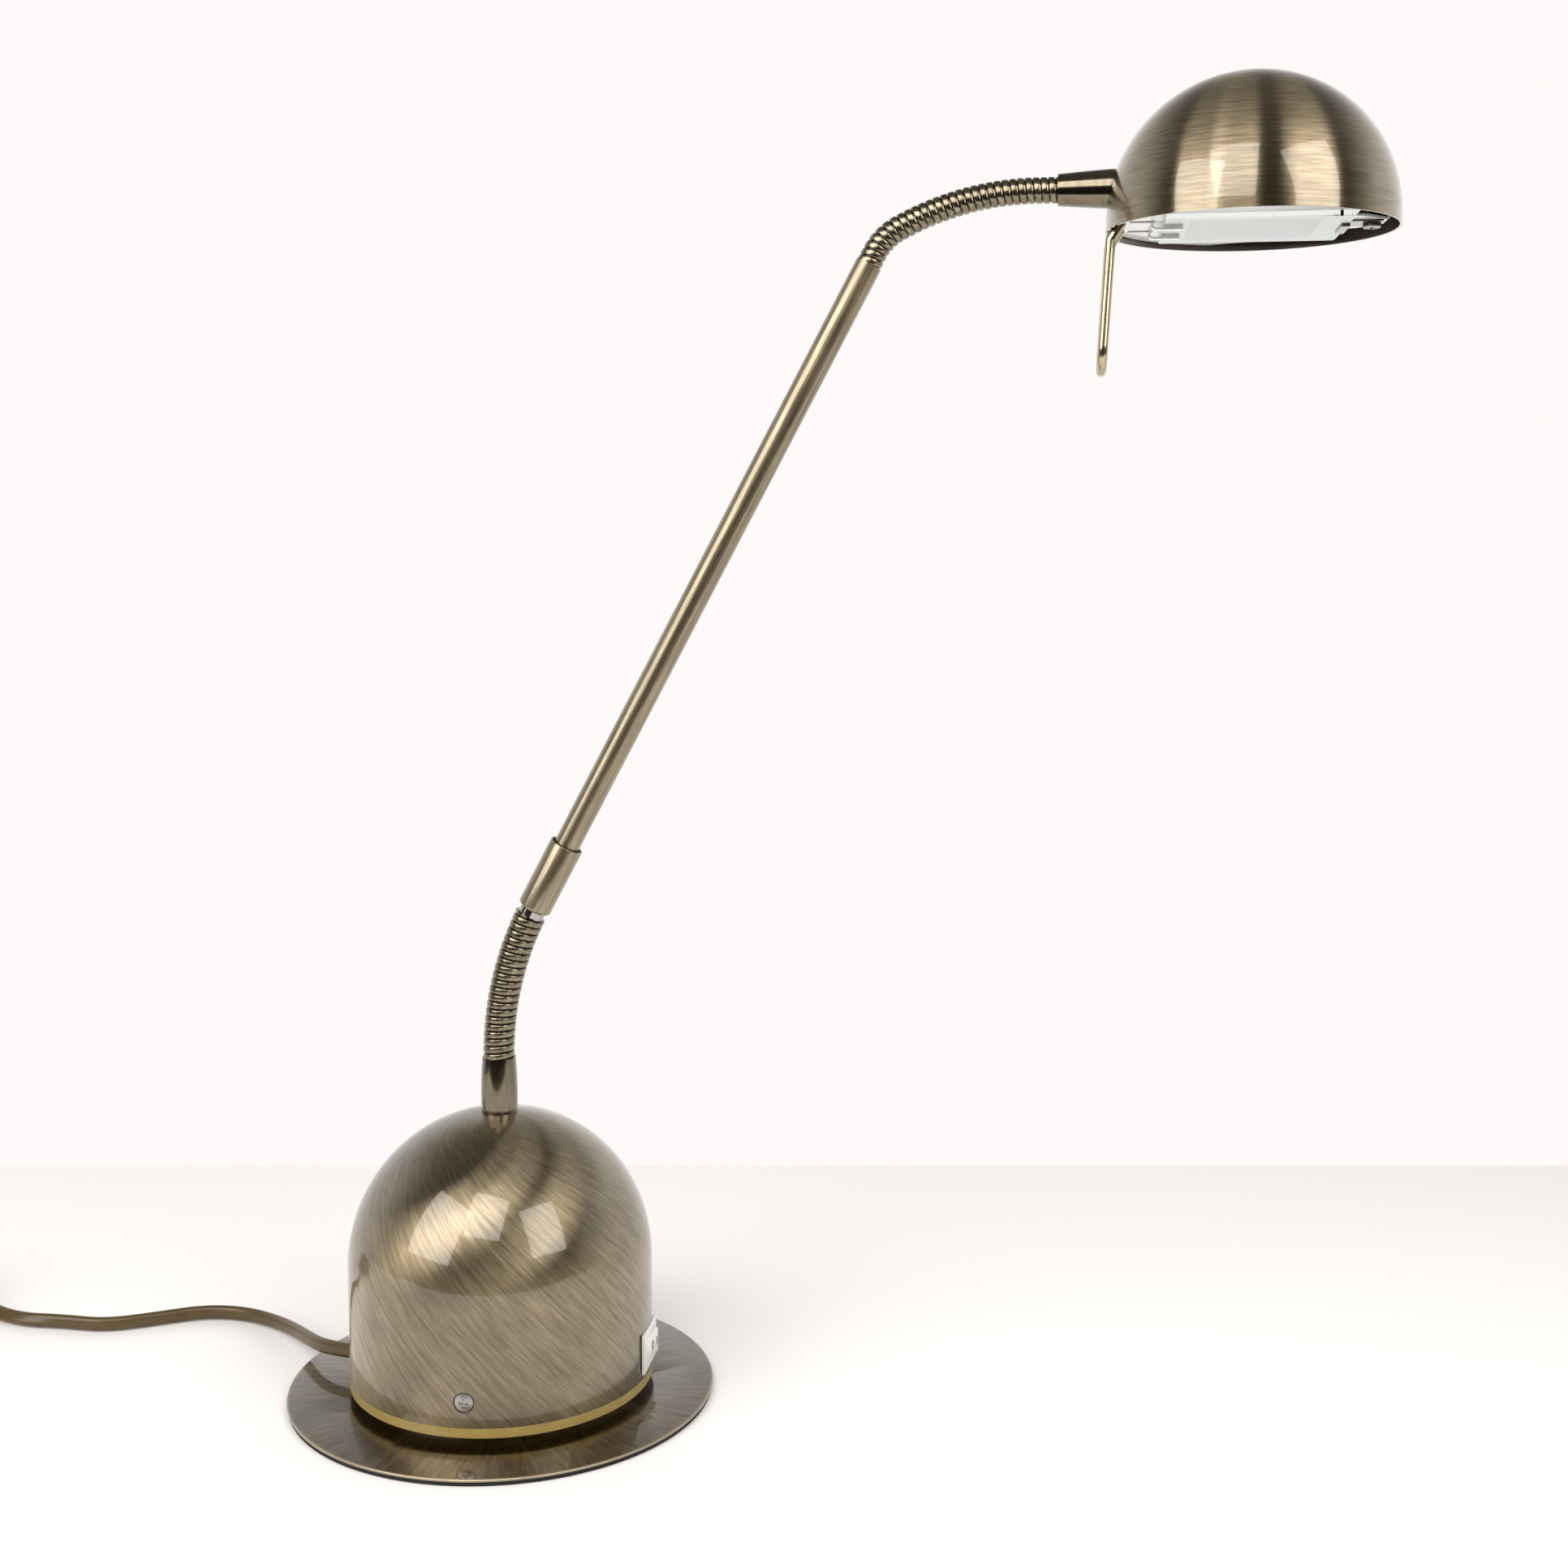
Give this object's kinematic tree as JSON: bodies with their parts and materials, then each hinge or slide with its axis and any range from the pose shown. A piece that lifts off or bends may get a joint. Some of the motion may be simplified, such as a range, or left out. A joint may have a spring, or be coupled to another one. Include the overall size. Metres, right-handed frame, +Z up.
{
  "type": "desk lamp",
  "caption": "Domed-base desk lamp with a thin arm between two short goosenecks, a half-round metal shade over a glazed capsule bulb, and a rocker switch low on the base.",
  "frame": {"origin": "centre of the base's underside, on the surface the lamp stands on", "axes": "+Z up; +X from the base towards the side the arm leans to, with the switch on +X; +Y away from the side the dome's front screw is on"},
  "size_m": [0.7636, 0.1614, 0.4848],
  "materials": {
    "collar_nickel": "nickelled, polished",
    "pad_foam": "dull foam rubber",
    "base_brass": "antique brass, brushed, under clear lacquer",
    "tray_plastic": "satin moulded, olive-gold metallic tint",
    "shade_brass": "antique brass, brushed round the shade, under clear lacquer",
    "arm_brass": "antique brass, brushed lengthwise, under clear lacquer",
    "screw_steel": "zinc plated",
    "dome_screw_steel": "nickelled",
    "core_steel": "laminated, dull",
    "bobbin_nylon": "natural nylon",
    "winding_copper": "enamelled copper wire under clear tape",
    "zinc_steel": "zinc plated sheet",
    "block_plastic": "moulded",
    "terminal_brass": "bright",
    "clamp_plastic": "moulded",
    "cord_pvc": "soft dark olive-brown sheath, slight shine",
    "switch_plastic": "white",
    "rocker_plastic": "white with dark 0 and I marks",
    "polished_brass": "antique brass, polished",
    "neck_brass": "antique brass plated wound strip",
    "fitting_brass": "turned",
    "lead_pvc": "silicone sheath",
    "reflector_enamel": "white gloss enamel",
    "holder_ceramic": "glazed steatite",
    "capsule_quartz": "clear quartz",
    "pin_steel": "bright wire",
    "safety_glass": "clear, ground edges with a green tint",
    "clip_bronze": "bronzed spring strip",
    "wire_brass": "antique brass plated wire, polished",
    "tie_plastic": "soft strip",
    "plug_plastic": "moulded soft plastic, dark olive-brown",
    "plug_brass": "nickelled"
  },
  "bodies": {
    "base": {"base_pad": "pad_foam", "base_disc": "base_brass", "plate_screws": "screw_steel", "base_tray": "tray_plastic", "base_dome": "base_brass", "dome_screws": "dome_screw_steel", "transformer_core": "core_steel", "transformer_bobbin": "bobbin_nylon", "primary_winding": "winding_copper", "secondary_winding": "winding_copper", "transformer_frame": "zinc_steel", "transformer_screws": "screw_steel", "terminal_block": "block_plastic", "terminal_screws": "terminal_brass", "block_screw": "screw_steel", "cord_clamp": "clamp_plastic", "clamp_screws": "screw_steel", "mains_lead_inner": "cord_pvc", "root_washer": "zinc_steel", "root_nut": "zinc_steel", "cord_lead": "cord_pvc", "cord_coil": "cord_pvc", "cord_tail": "cord_pvc", "cord_tie": "tie_plastic", "plug_body": "plug_plastic", "plug_pins": "plug_brass", "switch_housing": "switch_plastic", "switch_terminals": "terminal_brass", "lower_ferrule": "polished_brass", "neck_root": "fitting_brass"},
    "rocker": {"switch_rocker": "rocker_plastic"},
    "lower_link_1": {"lower_neck_1": "neck_brass"},
    "lower_link_2": {"lower_neck_2": "neck_brass"},
    "lower_link_3": {"lower_neck_3": "neck_brass"},
    "arm": {"lower_neck_4": "neck_brass", "lower_neck_end": "collar_nickel", "arm_sleeve": "arm_brass", "arm_nipple": "fitting_brass", "arm_tube": "arm_brass", "lamp_lead": "lead_pvc", "upper_neck_root": "fitting_brass"},
    "upper_link_1": {"upper_neck_1": "neck_brass"},
    "upper_link_2": {"upper_neck_2": "neck_brass"},
    "upper_link_3": {"upper_neck_3": "neck_brass"},
    "shade": {"upper_neck_4": "neck_brass", "upper_neck_end": "fitting_brass", "shade_ferrule": "polished_brass", "shade_nut": "zinc_steel", "shade_dome": "shade_brass", "shade_bracket": "zinc_steel", "reflector_pan": "reflector_enamel", "lamp_holder": "holder_ceramic", "holder_screw": "screw_steel", "halogen_capsule": "capsule_quartz", "capsule_pins": "pin_steel", "holder_lead": "lead_pvc", "glass_pane": "safety_glass", "glass_clip": "clip_bronze", "clip_screw": "screw_steel", "handle_loop": "wire_brass"}
  },
  "joints": [
    {"name": "lower_neck_bend", "type": "hinge", "parent": "base", "child": "lower_link_1", "pos_m": [0.0002, 0, 0.13608], "axis": [0, 1, 0], "range_deg": [-30, 17], "deforming": ["lower_neck_1"]},
    {"name": "lower_neck_sway", "type": "hinge", "parent": "lower_link_1", "child": "lower_link_2", "pos_m": [0.00184, 0, 0.15013], "axis": [0.9849, 0, -0.1732], "range_deg": [-22.5, 22.5], "deforming": ["lower_neck_2"]},
    {"name": "lower_neck_bend_2", "type": "hinge", "parent": "lower_link_2", "child": "lower_link_3", "pos_m": [0.0051, 0, 0.1639], "axis": [0, 1, 0], "range_deg": [-30, 17], "deforming": ["lower_neck_3"]},
    {"name": "lower_neck_sway_2", "type": "hinge", "parent": "lower_link_3", "child": "arm", "pos_m": [0.00992, 0, 0.17719], "axis": [0.9187, 0, -0.395], "range_deg": [-22.5, 22.5], "deforming": ["lower_neck_4"]},
    {"name": "upper_neck_bend", "type": "hinge", "parent": "arm", "child": "upper_link_1", "pos_m": [0.1447, 0, 0.43014], "axis": [0, 1, 0], "range_deg": [-30, 22.5], "deforming": ["upper_neck_1"]},
    {"name": "upper_neck_sway", "type": "hinge", "parent": "upper_link_1", "child": "upper_link_2", "pos_m": [0.16071, 0, 0.4393], "axis": [0.3687, 0, -0.9295], "range_deg": [-22.5, 22.5], "deforming": ["upper_neck_2"]},
    {"name": "upper_neck_bend_2", "type": "hinge", "parent": "upper_link_2", "child": "upper_link_3", "pos_m": [0.17852, 0, 0.44457], "axis": [0, 1, 0], "range_deg": [-30, 22.5], "deforming": ["upper_neck_3"]},
    {"name": "upper_neck_sway_2", "type": "hinge", "parent": "upper_link_3", "child": "shade", "pos_m": [0.19699, 0, 0.44655], "axis": [0.0165, 0, -0.9999], "range_deg": [-22.5, 22.5], "deforming": ["upper_neck_4"]},
    {"name": "switch_rock", "type": "hinge", "parent": "base", "child": "rocker", "pos_m": [0.0554, 0, 0.0196], "axis": [0, 0, 1], "range_deg": [0, 16]}
  ],
  "couplings": [
    {"joint": "lower_neck_bend_2", "follows": "lower_neck_bend", "ratio": 1},
    {"joint": "lower_neck_sway_2", "follows": "lower_neck_sway", "ratio": 1},
    {"joint": "upper_neck_bend_2", "follows": "upper_neck_bend", "ratio": 1},
    {"joint": "upper_neck_sway_2", "follows": "upper_neck_sway", "ratio": 1}
  ]
}
